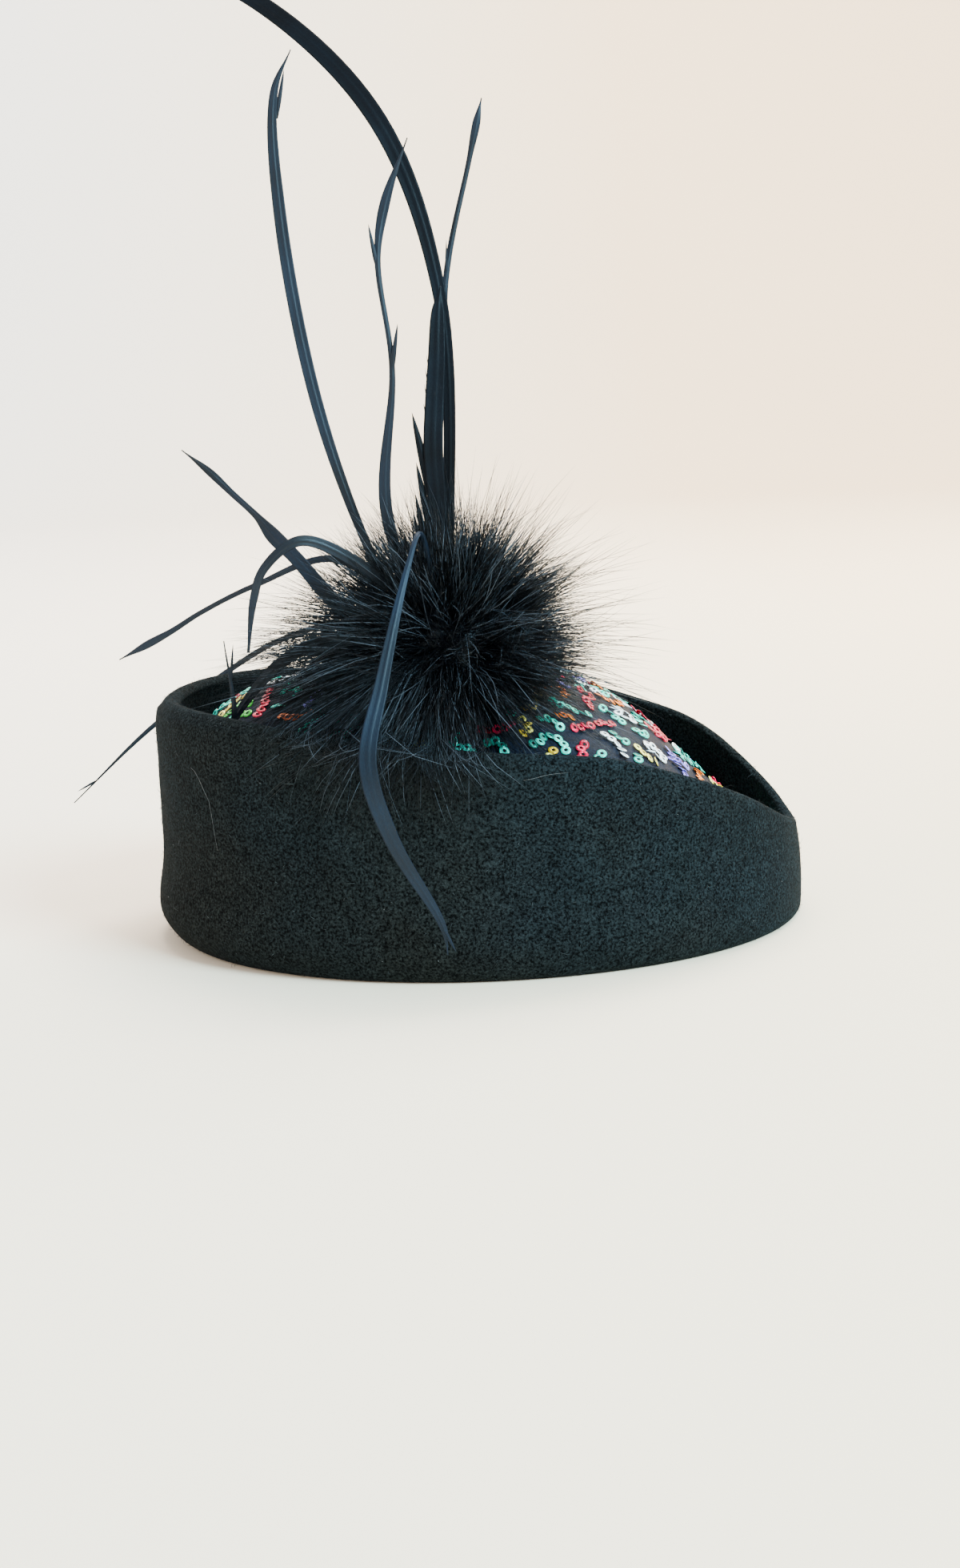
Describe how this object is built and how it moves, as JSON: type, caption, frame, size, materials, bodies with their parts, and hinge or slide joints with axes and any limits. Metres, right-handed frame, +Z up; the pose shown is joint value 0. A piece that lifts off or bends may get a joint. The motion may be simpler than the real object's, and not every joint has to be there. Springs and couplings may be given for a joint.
{
  "type": "pillbox hat",
  "caption": "Felt pillbox hat with a turned-up cuff, low in front and high behind, a sequinned domed crown and a side trim of black fluff and long stripped feathers.",
  "frame": {"origin": "centre of the head opening, on the plane that the hat's folded bottom edge rests on", "axes": "+Z up out of the crown, +X to the wearer's front, -Y to the trimmed side"},
  "size_m": [0.2598, 0.1927, 0.332],
  "materials": {
    "felt": "matte black wool felt",
    "sequin_cloth": "dark cloth with ring sequins in green, crimson, gold and silver",
    "fluff": "soft black down",
    "feather": "satin blue-black stripped feather"
  },
  "bodies": {
    "root": {"felt_cuff": "felt", "sequin_crown": "sequin_cloth", "tuft": "fluff", "feather_arch": "feather", "feather_tall": "feather", "feather_notched": "feather", "feather_paddle": "feather", "feather_vane": "feather", "feather_left_up": "feather", "feather_hook": "feather", "feather_left_level": "feather", "feather_front_fall": "feather", "feather_back_low": "feather", "feather_tucked": "feather"}
  },
  "joints": []
}
